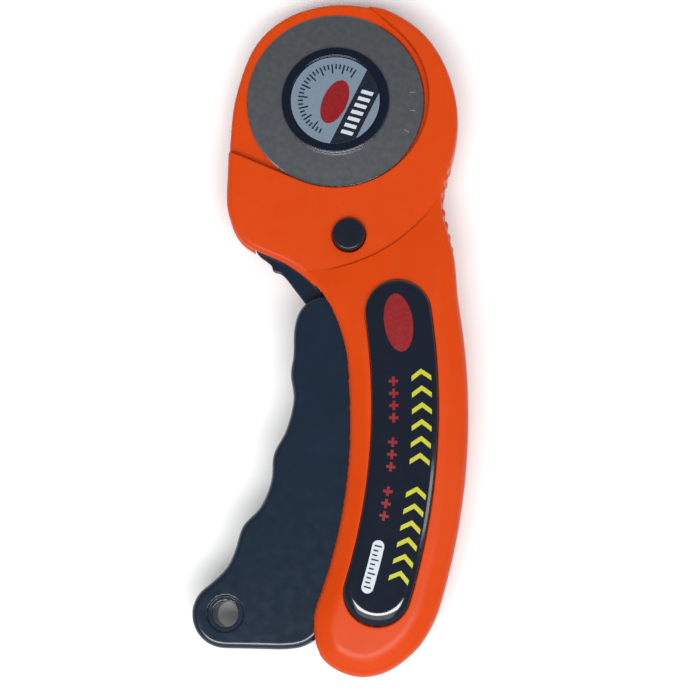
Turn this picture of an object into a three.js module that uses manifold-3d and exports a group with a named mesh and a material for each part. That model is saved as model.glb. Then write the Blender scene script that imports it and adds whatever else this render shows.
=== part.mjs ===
// Squeeze-handle rotary cutter with a 45 mm blade, lying on its back.
// Millimetres, +Z up, +Y towards the blade, +X towards the palm.
// Everything is drawn in plan with the blade's axis at (0, 0), and the finished
// group is shifted so that its origin is the centre of the footprint it lies on.
import * as THREE from "three";
import { mergeVertices } from "three/addons/utils/BufferGeometryUtils.js";
import Module from "manifold-3d";

const wasm = await Module();
wasm.setup();
const rad = THREE.MathUtils.degToRad;

// ---------------------------------------------------------------- driving dimensions

const FOOTPRINT_CENTRE = [-0.95, -58.75]; // plan centre of the whole cutter

// Levels, from the surface that the cutter lies on.
const Z_PART = 11; // plane where the two handle shells meet
const Z_FRONT = 21; // front of the handle
const Z_HEAD = 17.6; // front of the raised rim of the head
const Z_FLOOR = 14.4; // floor of the blade's recess
const Z_NUT_SEAT = 7.6; // floor of the nut's recess, on the back
const mirrorZ = (z) => 2 * Z_PART - z;
const Z_BACK = mirrorZ(Z_FRONT);
const Z_BACK_HEAD = mirrorZ(Z_HEAD);
const BELOW = -10; // levels well outside the cutter, for cuts that go right through a face
const ABOVE = 40;
const SHELL_GAP = 0.15; // each shell stops this far from the parting plane

// Half heights about the parting plane: the lever's own, and the room that it moves in.
const ARM_HALF = 1.2; // thin arm in the head
const ARM_ROOM = 1.6;
const NECK_HALF = 3; // neck and pivot eye
const NECK_ROOM = 3.4;
const GRIP_HALF = 6.5; // finger grip
const GRIP_ROOM = 7;

// Shells.
const WALL = 2.6;
const HEAD_EDGE = 2.6; // rounding of the head's outer edges
const HANDLE_EDGE = 3.2;
const INNER = { x: -121.3, y: -81.8, r: 125.3 }; // curved handle's edge on the fingers' side
const OUTER = { x: -125.7, y: -78.8, r: 158.4 }; // its edge in the palm
const CREASE = { x: -8, y: -4, r: 40 }; // step between the head and the handle
const RECESS = { x: 0.4, y: 0.5, r: 23.8 }; // wall round the blade
const RIBS = { count: 8, r: 1.3, half: 5.5, sink: 0.4 };

// Grip inlays.
const MIDDLE = { x: -137.7, y: -77.6, r: 155 }; // centre line of both
const INLAY_HALF = 8;
const INLAY_PROUD = 1;
const INLAY_FIT = 0.3;
const POCKET = 0.8;
const PEG_ANGLES = [-14, -4, 5].map(rad);
const PEG_R = 1.5;

// Lever, its pivot and its lock.
const PIVOT = { x: -15.8, y: -28.6, r: 2 };
const SQUEEZE = rad(12); // lever travel
const LOCK = { x: 3.5, y: -35.2, r: 4.05 };
const EYE = { x: -26.4, y: -128.2, r: 8.2, hole: 3.15, rim: 4.4, sink: 0.5 }; // hanging eye

// Return spring, from its seat on the lever to its seat in the handle.
const SPRING = { x: 9.5, y: -60.5, angle: rad(40), length: 17, r: 3.2, wire: 0.45, turns: 6.5 };
const SPRING_SEAT_R = 4.4;
const SPRING_POST_R = 2;

// Blade, and the bolt that holds it on the lever's arm.
const BLADE = { r: 22.5, hole: 4, low: 14.7, thick: 0.3, grind: 1.1 };
const BLADE_TOP = BLADE.low + BLADE.thick;
const CAP = { r: 13.6, low: BLADE_TOP + 0.3, top: BLADE_TOP + 1.6 };
const LABEL = { r: 11.4, thick: 0.2, sink: 0.25 };
const STUD_R = 3;
const STUD_FLAT = 2.5; // half the width across its flats
const STUD_TOP = CAP.top - 0.7;

// Nut and washers on the back.
const NUT = { r: 10.6, knurls: 18, knurl: 0.4, top: 5.3, bore: 4.5 };
const FLAT_WASHER = { inner: 3.3, outer: 7.5, low: 5.6, high: 6.2 };
const WAVE_WASHER = { inner: 3.3, outer: 7.2, low: 6.7, high: 7.05, waves: 3, lift: 0.22 };

// Case screws, driven in from the back.
const SCREWS = [
  { x: 21, y: 7, back: Z_BACK_HEAD, tip: 13.2 },
  { x: 19, y: -28, back: Z_BACK_HEAD, tip: 15.6 },
  { x: 27.3, y: -98, back: Z_BACK, tip: 16.6 },
  { x: 12.5, y: -137.2, back: Z_BACK, tip: 16.6 },
];
const SCREW = { r: 1.2, head: 2.6, headHigh: 1.6, sink: 2.2, slotHalf: 0.35, slotReach: 1.5 };
const BOSS_R = 3;

// ---------------------------------------------------------------- materials

const plastic = (color, roughness) => new THREE.MeshStandardMaterial({ color, roughness, metalness: 0 });
const metal = (color, roughness) => new THREE.MeshStandardMaterial({ color, roughness, metalness: 1 });
const ORANGE = plastic(0xe14a12, 0.38);
const BLACK = plastic(0x1c212b, 0.3);
const PRINT = plastic(0x72838f, 0.35);
const STEEL = metal(0x8f9598, 0.3);
const PLATED = metal(0xb8bcc0, 0.25);
const BRASS = metal(0xb08d4a, 0.35);

// ---------------------------------------------------------------- plan curves

const at = (x, y) => new THREE.Vector2(x, y);
const AXIS = at(0, 0);
const polar = (c, r, a) => at(c.x + r * Math.cos(a), c.y + r * Math.sin(a));
const angleTo = (c, x, y) => Math.atan2(y - c.y, x - c.x);

// Points along an arc about c, from angle a to angle b.
function arc(c, r, a, b, steps) {
  return Array.from({ length: steps + 1 }, (_, i) => polar(c, r, a + ((b - a) * i) / steps));
}

const circle = (c, r, steps = 32) => arc(c, r, 0, 2 * Math.PI, steps).slice(0, -1);

// The four corners of a rectangle.
const rectangle = (x0, y0, x1, y1) => [at(x0, y0), at(x1, y0), at(x1, y1), at(x0, y1)];

// Points along a smooth curve through the given ones.
function smooth(points, steps) {
  return new THREE.SplineCurve(points.map(([x, y]) => at(x, y))).getPoints(steps);
}

// A band of constant width along an arc about c, with round ends.
function arcBand(c, r, half, a, b, steps) {
  return [
    ...arc(c, r + half, a, b, steps),
    ...arc(polar(c, r, b), half, b, b + Math.PI, 10),
    ...arc(c, r - half, b, a, steps),
    ...arc(polar(c, r, a), half, a + Math.PI, a + 2 * Math.PI, 10),
  ];
}

// Drops points that lie closer together than the others.
function spaced(points, least = 0.4) {
  return points.filter((p, i) => p.distanceTo(points[(i + 1) % points.length]) > least);
}

// The outline moved inwards along its own normals.
function inset(points, by) {
  const n = points.length;
  return points.map((p, i) => {
    const along = points[(i + 1) % n].clone().sub(points[(i + n - 1) % n]).normalize();
    return at(p.x - along.y * by, p.y + along.x * by);
  });
}

// Outline of the two shells, anticlockwise from the palm's side of the head.
function bodyOutline() {
  const head = [
    [29.4, -15.6], [30.6, -8.7], [30.6, -2.5], [29.4, 3.7], [27, 10], [23.1, 16.1], [17.4, 21],
    [10.1, 24.4], [2.3, 25.7], [-5.4, 25], [-12.8, 22.3], [-19.2, 17], [-22.7, 10.7], [-24.7, 4.4],
    [-26.1, -1.9], [-26.8, -11.9],
  ];
  const lobe = [
    [-27.1, -21.2], [-27.1, -27.3], [-25, -33.5], [-22.2, -36.9], [-16.3, -40], [-10.4, -43],
    [-3.9, -49], [-0.2, -55.1], [1.9, -61], [3.1, -67],
  ];
  const end = [[-5.2, -131.8], [-4, -137], [-1.4, -140.3], [5.6, -143.2], [13.4, -141.6], [20.6, -135.9]];
  const neck = [[29.6, -40.5], [28.2, -33.6], [27.6, -27.8], [28.4, -21.7], [29.1, -17]];
  return spaced([
    ...smooth([...head, ...lobe], 70),
    ...arc(INNER, INNER.r, angleTo(INNER, 3.5, -71.5), angleTo(INNER, -4.6, -128), 10),
    ...smooth(end, 12),
    ...arc(OUTER, OUTER.r, angleTo(OUTER, 24.4, -129.5), angleTo(OUTER, 30.9, -52.1), 12),
    ...smooth(neck, 7),
  ]);
}

// Everything on the blade's side of the recess wall: round the blade, and open to the upper left.
function recessRegion() {
  return [
    at(-40, 32),
    at(-40, -7.8),
    at(-27.7, -13.2),
    ...arc(RECESS, RECESS.r, rad(-113.6), rad(42), 30),
    at(10, 25.8),
    at(9, 32),
  ];
}

// The band that a round thing of radius half sweeps as the lever carries it from the blade's axis.
const sweep = (half) => {
  const start = angleTo(PIVOT, 0, 0);
  return arcBand(PIVOT, Math.hypot(PIVOT.x, PIVOT.y), half, start, start + SQUEEZE, 6);
};

// Both grip inlays and their pockets.
const inlayOutline = (half) =>
  arcBand(MIDDLE, MIDDLE.r, half, angleTo(MIDDLE, 10.3, -123.2), angleTo(MIDDLE, 15.7, -55.1), 10);

// ---------------------------------------------------------------- solids

function solid(geometry) {
  const bare = geometry.index ? geometry.toNonIndexed() : geometry;
  const corners = new THREE.BufferGeometry().setAttribute("position", bare.getAttribute("position"));
  const merged = mergeVertices(corners, 1e-4);
  return new wasm.Manifold(
    new wasm.Mesh({
      numProp: 3,
      vertProperties: merged.attributes.position.array,
      triVerts: new Uint32Array(merged.index.array),
    }),
  );
}

const union = (solids) => solids.reduce((a, b) => a.add(b));

// A flat piece between two levels. round rounds off its top and bottom edges.
function slab(points, low, high, round = 0, steps = 2) {
  const geometry = new THREE.ExtrudeGeometry(new THREE.Shape(points), {
    depth: high - low - 2 * round,
    bevelEnabled: round > 0,
    bevelThickness: round,
    bevelSize: round,
    bevelOffset: -round,
    bevelSegments: steps,
    curveSegments: 1,
  });
  return solid(geometry.translate(0, 0, low + round));
}

const rod = (c, r, low, high, steps = 24) => slab(circle(c, r, steps), low, high);

// A turned piece about a vertical axis: profile points are [radius, level], going up the outside.
function turned(profile, steps = 32) {
  const geometry = new THREE.LatheGeometry(profile.map(([r, z]) => at(r, z)), steps);
  return solid(geometry.rotateX(Math.PI / 2));
}

const ring = (inner, outer, low, high, steps = 36) =>
  turned([[inner, low], [outer, low], [outer, high], [inner, high], [inner, low]], steps);

// A cylinder whose axis lies in plan at the parting plane's level, from a point along an angle.
function levelRod(from, angle, r, length) {
  const geometry = new THREE.CylinderGeometry(r, r, length, 20);
  geometry.translate(0, length / 2, 0).rotateZ(angle - Math.PI / 2);
  return solid(geometry.translate(from.x, from.y, Z_PART));
}

// Both sides of the parting plane.
const level = (half) => [Z_PART - half, Z_PART + half];

const root = new THREE.Group();
root.position.set(-FOOTPRINT_CENTRE[0], -FOOTPRINT_CENTRE[1], 0);

function add(name, made, material) {
  const { vertProperties, triVerts } = made.getMesh();
  const geometry = new THREE.BufferGeometry();
  geometry.setAttribute("position", new THREE.BufferAttribute(new Float32Array(vertProperties), 3));
  geometry.setIndex(new THREE.BufferAttribute(new Uint32Array(triVerts), 1));
  const mesh = new THREE.Mesh(geometry, material);
  mesh.name = name;
  root.add(mesh);
}

// ---------------------------------------------------------------- handle shells

const outline = bodyOutline();
const EVERYWHERE = rectangle(-90, -190, 90, 90);
const BESIDE_HEAD = rectangle(20, -24, 60, 60);
const HEAD_SIDE = rectangle(-60, -40, 60, 60);

// Outer form of both shells together: a thick handle, and a thinner head inside the crease.
function bodyForm() {
  const thin = slab(circle(CREASE, CREASE.r, 48), BELOW, ABOVE).add(slab(BESIDE_HEAD, BELOW, ABOVE));
  const thick = slab(EVERYWHERE, BELOW + 1, ABOVE - 1).subtract(thin);
  const head = slab(outline, Z_BACK_HEAD, Z_HEAD, HEAD_EDGE);
  return slab(outline, Z_BACK, Z_FRONT, HANDLE_EDGE).intersect(head.add(thick));
}

// Finger ribs on the palm's side of the neck, across the middle of the thickness.
function ribs() {
  const spine = new THREE.SplineCurve([at(28.5, -15.8), at(26.7, -23), at(26.6, -30), at(28.1, -38.2)]);
  const places = spine.getSpacedPoints(RIBS.count - 1);
  return union(places.map((p) => rod(at(p.x - RIBS.sink, p.y), RIBS.r, ...level(RIBS.half), 12)));
}

// Everything hollow inside the shells, with the slot down the left side that the lever moves in.
function hollow() {
  const inner = inset(outline, WALL);
  const arm = slab(inner, ...level(ARM_ROOM)).intersect(slab(HEAD_SIDE, ...level(ARM_ROOM)));
  const neck = [
    at(-21.3, -25), at(-21.3, -33), at(-20.8, -36), at(-24, -42), at(-24, -60), at(22, -60),
    at(22, -46), at(12, -38.5), at(-2, -33.5), at(-9.5, -25), at(-15.4, -22.8), at(-19.5, -23.2),
  ];
  const mouth = [
    ...arc(INNER, INNER.r + WALL + 2, angleTo(INNER, -3, -128), angleTo(INNER, 5, -62), 10),
    at(1, -47.4), at(-30, -47.4), at(-30, -138), at(-4.3, -138), at(0, -137),
  ];
  const web = slab(circle(CREASE, CREASE.r + 2.2, 48), ...level(GRIP_ROOM + 1));
  const deep = slab(inner, ...level(GRIP_ROOM)).add(slab(mouth, ...level(GRIP_ROOM))).subtract(web);
  return union([arm, slab(neck, ...level(NECK_ROOM)), deep]);
}

// Screw bosses and the spring's seat, which stand inside the hollow.
function bosses() {
  const posts = SCREWS.map((s) => rod(s, BOSS_R, Z_BACK + 2, Z_FRONT - 2, 20));
  const seat = polar(SPRING, SPRING.length + 0.4, SPRING.angle);
  const post = polar(seat, -3, SPRING.angle);
  posts.push(levelRod(seat, SPRING.angle, SPRING_SEAT_R, 8));
  posts.push(levelRod(post, SPRING.angle, SPRING_POST_R, 4));
  return union(posts);
}

// What is cut right through both shells: lever parts, lock button, pivot pin and screws.
function bores() {
  const cuts = [
    rod(LOCK, LOCK.r + 0.2, BELOW, ABOVE),
    rod(PIVOT, PIVOT.r + 0.1, ...level(5)),
    slab(sweep(BLADE.hole + 0.4), Z_PART, ABOVE),
    slab(sweep(STUD_R + 0.6), BELOW, Z_PART),
    slab(sweep(NUT.r + 1.6), BELOW, Z_NUT_SEAT),
    slab(recessRegion(), Z_FLOOR, ABOVE),
  ];
  for (const s of SCREWS) {
    cuts.push(rod(s, SCREW.r + 0.3, BELOW, s.tip + 0.4, 16));
    cuts.push(rod(s, SCREW.head + 0.3, BELOW, s.back + SCREW.sink, 20));
  }
  return union(cuts);
}

// Pockets for the inlays, with a hole for each of their pegs.
function pockets() {
  const shape = inlayOutline(INLAY_HALF + INLAY_FIT);
  const cuts = [slab(shape, Z_FRONT - POCKET, ABOVE), slab(shape, BELOW, Z_BACK + POCKET)];
  for (const a of PEG_ANGLES) cuts.push(rod(polar(MIDDLE, MIDDLE.r, a), PEG_R + 0.3, BELOW, ABOVE, 16));
  return union(cuts);
}

const body = bodyForm().add(ribs());
const shells = body.subtract(hollow()).add(bosses().intersect(body)).subtract(bores()).subtract(pockets());
add("front_shell", shells.intersect(slab(EVERYWHERE, Z_PART + SHELL_GAP, ABOVE)), ORANGE);
add("back_shell", shells.intersect(slab(EVERYWHERE, BELOW, Z_PART - SHELL_GAP)), ORANGE);

// ---------------------------------------------------------------- grip inlays

// A raised plate with rounded edges and three pegs that press into the shell's pocket.
function inlay(side) {
  const seat = Z_FRONT - POCKET + 0.1;
  const flip = side === "back" ? (low, high) => [mirrorZ(high), mirrorZ(low)] : (low, high) => [low, high];
  const plate = slab(inlayOutline(INLAY_HALF), ...flip(seat, Z_FRONT + INLAY_PROUD), 0.7);
  const pegs = PEG_ANGLES.map((a) => rod(polar(MIDDLE, MIDDLE.r, a), PEG_R, ...flip(seat - 2, seat + 0.2), 12));
  return union([plate, ...pegs]);
}
add("front_inlay", inlay("front"), BLACK);
add("back_inlay", inlay("back"), BLACK);

// ---------------------------------------------------------------- squeeze lever

// Finger side of the grip, round the hanging eye, and back inside the handle.
function gripOutline() {
  const fingers = [
    [-6.1, -51], [-8.8, -54], [-10.1, -58.5], [-10.3, -65], [-10.9, -69.9], [-10.2, -76], [-12, -83.5],
    [-15, -89.5], [-15.6, -96], [-18.1, -102.2], [-22.4, -107], [-24.2, -112.5], [-26.1, -116.7],
    [-29.2, -120], [-32.4, -122.6],
  ];
  return spaced([
    ...smooth(fingers, 28),
    ...arc(EYE, EYE.r, rad(150), rad(270), 8),
    ...smooth([[-12.5, -136.7], [-7.6, -136], [-3.8, -133.4], [-2.2, -129.5]], 8),
    ...arc(INNER, INNER.r + 4.5, angleTo(INNER, 0, -124), angleTo(INNER, 7.5, -62), 9),
    at(6.5, -55.5),
    at(3, -50.2),
    at(-1.5, -49.8),
  ]);
}

// Neck from the pivot eye to the grip, with a small bump where it leaves the shells.
function neckOutline() {
  const edge = [
    [-20.5, -33], [-19.1, -38.3], [-16, -41.2], [-15.3, -42.9], [-13.7, -43.4], [-12.2, -44.6],
    [-9.9, -47.6], [-7, -51.5],
  ];
  return [
    ...arc(PIVOT, 4.6, rad(20), rad(190), 10),
    ...smooth(edge, 14),
    at(-6, -56),
    at(4, -56),
    at(3, -46),
    at(-3, -39),
    at(-10, -33),
  ];
}

// Thin arm that carries the blade, reaching past the lock.
function armOutline() {
  return [
    ...arc(AXIS, 7, rad(-20), rad(200), 14),
    at(-20.2, -27),
    at(-18, -38),
    at(-8, -46),
    at(2, -47),
    at(9.6, -40.5),
    at(10.2, -31),
  ];
}

// Where the lock stands on the lever, from unlocked and squeezed to locked and open.
const LOCK_REACH = Math.hypot(LOCK.x - PIVOT.x, LOCK.y - PIVOT.y);
const LOCK_OPEN = angleTo(PIVOT, LOCK.x, LOCK.y);
const LOCK_SQUEEZED = LOCK_OPEN - SQUEEZE;
const lockBand = (half) => arcBand(PIVOT, LOCK_REACH, half, LOCK_SQUEEZED, LOCK_OPEN, 6);

// Window for the lock: a round notch at each end of the lever's travel, joined by a narrow way.
function lockWindow() {
  const ends = [LOCK_OPEN, LOCK_SQUEEZED].map((a) => polar(PIVOT, LOCK_REACH, a));
  const notches = ends.map((p) => rod(p, 2.8, ...level(GRIP_HALF)));
  return union([slab(lockBand(1.75), ...level(GRIP_HALF)), ...notches]);
}

// Room for the button's two caps, above and below the arm, at every angle of the lever.
function capRoom() {
  const band = lockBand(LOCK.r + 0.4);
  return slab(band, Z_PART + ARM_HALF, ABOVE).add(slab(band, BELOW, Z_PART - ARM_HALF));
}

// Round bar with two flats, which stops the bolt turning in the arm.
function flatted(r, half, low, high) {
  return rod(AXIS, r, low, high).intersect(slab(rectangle(-half, -9, half, 9), low, high));
}

function lever() {
  const towardsLever = SPRING.angle + Math.PI;
  return slab(gripOutline(), ...level(GRIP_HALF), 1.6)
    .add(slab(neckOutline(), ...level(NECK_HALF)))
    .add(slab(armOutline(), ...level(ARM_HALF)))
    .add(levelRod(polar(SPRING, -0.4, SPRING.angle), towardsLever, SPRING_SEAT_R, 7))
    .add(levelRod(polar(SPRING, 2.6, SPRING.angle), towardsLever, SPRING_POST_R, 4))
    .subtract(lockWindow())
    .subtract(capRoom())
    .subtract(flatted(STUD_R + 0.15, STUD_FLAT + 0.15, ...level(GRIP_HALF)))
    .subtract(rod(PIVOT, PIVOT.r + 0.15, ...level(GRIP_HALF)))
    .subtract(rod(EYE, EYE.hole, BELOW, ABOVE))
    .subtract(rod(EYE, EYE.rim, Z_PART + GRIP_HALF - EYE.sink, ABOVE))
    .subtract(rod(EYE, EYE.rim, BELOW, Z_PART - GRIP_HALF + EYE.sink));
}
add("squeeze_lever", lever(), BLACK);
add("pivot_pin", rod(PIVOT, PIVOT.r, ...level(4.7)), PLATED);

// ---------------------------------------------------------------- return spring

class Helix extends THREE.Curve {
  getPoint(t) {
    const a = 2 * Math.PI * SPRING.turns * t;
    const along = SPRING.wire + (SPRING.length - 2 * SPRING.wire) * t;
    return new THREE.Vector3(SPRING.r * Math.cos(a), along, SPRING.r * Math.sin(a));
  }
}
function spring() {
  const section = new THREE.Shape(circle(AXIS, SPRING.wire, 5));
  const wire = new THREE.ExtrudeGeometry(section, { steps: 65, extrudePath: new Helix(), bevelEnabled: false });
  return solid(wire.rotateZ(SPRING.angle - Math.PI / 2).translate(SPRING.x, SPRING.y, Z_PART));
}
add("return_spring", spring(), PLATED);

// ---------------------------------------------------------------- blade and its bolt

// Flat disc with its rim ground to an edge at half its thickness.
function blade() {
  const flat = BLADE.r - BLADE.grind;
  const profile = [
    [BLADE.hole, BLADE.low], [flat, BLADE.low], [BLADE.r, BLADE.low + BLADE.thick / 2],
    [flat, BLADE_TOP], [BLADE.hole, BLADE_TOP], [BLADE.hole, BLADE.low],
  ];
  return turned(profile, 64);
}
add("blade", blade(), STEEL);

// Low disc over the blade, with a shallow seat for its label and a blind hole for the stud.
function cap() {
  const edge = 0.4;
  const seat = CAP.top - LABEL.sink;
  const profile = [
    [0, CAP.low], [CAP.r - edge, CAP.low], [CAP.r, CAP.low + edge], [CAP.r, CAP.top - edge],
    [CAP.r - edge, CAP.top], [LABEL.r + 0.4, CAP.top], [LABEL.r + 0.3, seat], [0, seat],
  ];
  return turned(profile, 48).subtract(rod(AXIS, STUD_R + 0.1, BELOW, STUD_TOP + 0.1));
}
add("bolt_cap", cap(), BLACK);
const LABEL_LOW = CAP.top - LABEL.sink + 0.05;
add("bolt_label", rod(AXIS, LABEL.r, LABEL_LOW, LABEL_LOW + LABEL.thick, 48), PRINT);

// Bolt with a shoulder in the blade's hole, and flats where it passes through the lever's arm.
function stud() {
  const shoulder = BLADE.hole - 0.15;
  const armTop = Z_PART + ARM_HALF;
  const profile = [
    [0, 1.2], [STUD_R - 0.6, 1.2], [STUD_R, 1.8], [STUD_R, armTop + 0.1], [shoulder, armTop + 0.1],
    [shoulder, CAP.low - 0.1], [STUD_R, CAP.low - 0.1], [STUD_R, STUD_TOP], [0, STUD_TOP],
  ];
  const flatsLow = Z_PART - ARM_HALF - 0.3;
  const outside = rod(AXIS, BLADE.hole, flatsLow, armTop + 0.05);
  return turned(profile, 24).subtract(outside.subtract(flatted(STUD_R, STUD_FLAT, BELOW, ABOVE)));
}
add("bolt_stud", stud(), PLATED);

// ---------------------------------------------------------------- nut and washers on the back

// Three-wave spring washer: a flat ring lifted along its rim.
function waveWasher() {
  const { inner, outer, low, high, waves, lift } = WAVE_WASHER;
  const profile = [[inner, low], [outer, low], [outer, high], [inner, high], [inner, low]];
  const geometry = new THREE.LatheGeometry(profile.map(([r, z]) => at(r, z)), 48).rotateX(Math.PI / 2);
  const p = geometry.attributes.position;
  for (let i = 0; i < p.count; i++) {
    const around = Math.atan2(p.getY(i), p.getX(i));
    p.setZ(i, p.getZ(i) + lift * Math.cos(waves * around));
  }
  return solid(geometry);
}
add("wave_washer", waveWasher(), PLATED);
add("flat_washer", ring(FLAT_WASHER.inner, FLAT_WASHER.outer, FLAT_WASHER.low, FLAT_WASHER.high), PLATED);

// Knurled knob with a ring-shaped dish in its face.
function nut() {
  const steps = NUT.knurls * 4;
  const rim = Array.from({ length: steps }, (_, i) => {
    const a = (2 * Math.PI * i) / steps;
    return polar(AXIS, NUT.r + NUT.knurl * Math.cos(NUT.knurls * a), a);
  });
  const dish = ring(6, 8.2, BELOW, 0.9);
  return slab(rim, 0, NUT.top, 0.6, 1).subtract(dish).subtract(rod(AXIS, NUT.bore, BELOW, ABOVE, 30));
}
add("nut_knob", nut(), BLACK);
add("nut_insert", ring(STUD_R + 0.15, NUT.bore - 0.1, 0.4, NUT.top - 0.1, 30), BRASS);

// ---------------------------------------------------------------- lock button

// Front end: a cap, a collar that fills the lever's notch when pressed in, and a neck.
function lockFront() {
  const neck = 1.3;
  const low = Z_PART - 4;
  const collarLow = Z_PART + 1.4;
  const step = Z_PART + 4.4;
  const top = 19.9;
  const profile = [
    [0, low], [neck, low], [neck, collarLow], [2.5, collarLow], [2.5, step], [LOCK.r, step],
    [LOCK.r, top - 0.5], [LOCK.r - 0.5, top], [0, top],
  ];
  return turned(profile, 28).translate([LOCK.x, LOCK.y, 0]);
}

// Back end, pressed onto the front end's neck.
function lockBack() {
  const socket = 1.45;
  const low = 4;
  const high = Z_PART - 1.5;
  const profile = [
    [0, low], [LOCK.r - 0.5, low], [LOCK.r, low + 0.5], [LOCK.r, high], [socket, high],
    [socket, high - 2.7], [0, high - 2.7],
  ];
  return turned(profile, 28).translate([LOCK.x, LOCK.y, 0]);
}
add("lock_button_front", lockFront(), BLACK);
add("lock_button_back", lockBack(), BLACK);

// ---------------------------------------------------------------- case screws

// Pan head with a cross recess, lying in its counterbore on the back.
function screw(s) {
  const seat = s.back + SCREW.sink - 0.1;
  const low = seat - SCREW.headHigh;
  const profile = [
    [0, low], [SCREW.head - 0.7, low], [SCREW.head, low + 0.8], [SCREW.head, seat], [SCREW.r, seat],
    [SCREW.r, s.tip - 1], [0, s.tip],
  ];
  const bar = (w, l) => slab(rectangle(s.x - l, s.y - w, s.x + l, s.y + w), BELOW, low + 0.9);
  const cross = bar(SCREW.slotHalf, SCREW.slotReach).add(bar(SCREW.slotReach, SCREW.slotHalf));
  return turned(profile, 20).translate([s.x, s.y, 0]).subtract(cross);
}
SCREWS.forEach((s, i) => add("case_screw_" + (i + 1), screw(s), PLATED));

export default root;
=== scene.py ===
# The looks of a squeeze-handle rotary cutter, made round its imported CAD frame.
#
# Shapes are drawn in millimetres with the blade's axis at x = 0, y = 0 and z up from the
# surface that the cutter lies on. The moulded pieces are written as distance fields,
# which round every edge as a mould does, and meshed here. settle_in() turns millimetres
# into the frame's metres.

import math

import bpy
import numpy as np
from mathutils import Matrix, Vector


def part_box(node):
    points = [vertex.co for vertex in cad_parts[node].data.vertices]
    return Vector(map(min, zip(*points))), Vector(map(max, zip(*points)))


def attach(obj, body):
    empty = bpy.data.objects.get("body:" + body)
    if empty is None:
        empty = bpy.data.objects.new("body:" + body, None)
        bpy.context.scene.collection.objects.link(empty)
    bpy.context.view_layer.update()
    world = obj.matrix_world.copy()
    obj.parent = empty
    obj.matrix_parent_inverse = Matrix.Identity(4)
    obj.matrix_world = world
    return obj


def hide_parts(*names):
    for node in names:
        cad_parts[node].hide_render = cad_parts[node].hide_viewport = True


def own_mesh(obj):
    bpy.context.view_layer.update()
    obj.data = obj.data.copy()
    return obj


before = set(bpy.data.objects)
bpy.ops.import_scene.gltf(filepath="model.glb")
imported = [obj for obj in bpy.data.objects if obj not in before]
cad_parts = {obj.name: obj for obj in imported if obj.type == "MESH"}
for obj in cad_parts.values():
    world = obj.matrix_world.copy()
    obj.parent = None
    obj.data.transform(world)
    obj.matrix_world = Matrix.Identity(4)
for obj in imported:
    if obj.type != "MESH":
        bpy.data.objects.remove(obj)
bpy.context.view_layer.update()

MM = 0.001
blade_low, blade_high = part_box("blade")
AXIS = np.array([(blade_low.x + blade_high.x) / 2, (blade_low.y + blade_high.y) / 2, 0.0])


def span(node):
    """Lowest and highest corner of a CAD node, in this script's millimetres."""
    return [(np.array(corner) - AXIS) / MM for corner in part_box(node)]


# ---------------------------------------------------------------- sizes

Z_FRONT = span("front_shell")[1][2]
Z_BACK = span("back_shell")[0][2]
Z_PART = (Z_FRONT + Z_BACK) / 2
SHELL_GAP = span("front_shell")[0][2] - Z_PART
HANDLE_HALF = Z_FRONT - Z_PART
HEAD_HALF = 6.6  # half thickness of the head
FLOOR_HALF = 3.4  # height of the blade recess's floor over the parting plane
Z_NUT_SEAT = 7.6  # floor of the room for the nut
WALL = 2.6
ROOF = 7.0  # half height of the hollow
ARM_ROOM_HALF, NECK_ROOM_HALF = 1.6, 3.4
MOUTH_TOP = -47.4  # where the mouth for the grip starts
MOUTH_REACH = 109.6  # and how far it goes from the pivot

INNER = (-121.3, -81.8, 124.9)  # x, y and radius of the handle's edge on the fingers' side
OUTER = (-125.7, -78.8, 158.4)  # the same in the palm
CREASE = (-8.0, -4.0, 40.0)
RECESS = (0.3, 0.4, 23.3)  # the blade's recess, and the angles between which its wall is round
RECESS_FROM, RECESS_TO = math.radians(-113.6), math.radians(47)
RAMP = 0.4  # slope at which the recess's wall grows from nothing at the top of the head
SHOULDER = 4.7  # the top starts to fall away this far inside the edge
SHOULDER_BEND = 2.4
HEAD_SLOPE, HANDLE_SLOPE = 0.04, 0.5  # of the shoulder
RISE = 28.0  # length over which the handle grows thicker behind the crease
LEAN = 0.14  # how far a wall leans in, for each millimetre down
LOBE = (-21.0, -38.0)  # where the walls lean in most
LIP = 0.9  # step of the crease
LIP_FROM, LIP_TO = math.radians(-83), math.radians(-32)
FINGER_RIB_R, RIB_REACH = 1.3, 5.3

MIDDLE = (-137.7, -77.6, 155.0)  # centre line of the grip inlays
INLAY_HALF = 8.0
INLAY_FROM = math.atan2(-123.2 - MIDDLE[1], 10.3 - MIDDLE[0])
INLAY_TO = math.atan2(-55.1 - MIDDLE[1], 15.7 - MIDDLE[0])
INLAY_TOP = span("front_inlay")[1][2]
INLAY_SLOPE = 1.5  # millimetres across the inlay's bevel for each millimetre down
POCKET = 0.8
PEG_ANGLES = [math.radians(a) for a in (-14, -4, 5)]
PEG_R = 1.5
CHEVRON_ROW, CROSS_ROW, PILL_ROW = 4.1, -2.7, -2.6  # offsets from the centre line

GRIP_HALF = 6.5
NECK_HALF = 3.0
ARM_HALF = 1.2
PIVOT = (-15.8, -28.6)
PIVOT_R = 2.0
SQUEEZE = math.radians(12)
LOCK = (3.5, -35.2)
LOCK_R = 4.05
SLOT_HALF, NOTCH_R = 1.75, 2.8  # of the lever's window for the lock
COLLAR_R, COLLAR_LOW, COLLAR_HIGH = 2.5, 12.4, 15.4  # of the lock's front end
EYE = (-26.4, -128.2)
EYE_R, EYE_HOLE, EYE_RIM = 8.2, 3.15, 4.4
SPRING_SEAT_R = 4.4

BLADE_R = 22.5
BLADE_GRIND = 0.35
CAP_R = 13.6
CAP_LOW, CAP_TOP = span("bolt_cap")[0][2], span("bolt_cap")[1][2]
LABEL_R = 11.2
LABEL_AT = (0.0, -0.25)
LABEL_TOP = span("bolt_label")[1][2]
STUD_R = 3.0
NUT_R, NUT_KNURLS, NUT_HALF = 10.6, 18, 2.65
SCREW_HEAD_R, SCREW_SINK = 2.6, 1.7

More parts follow.
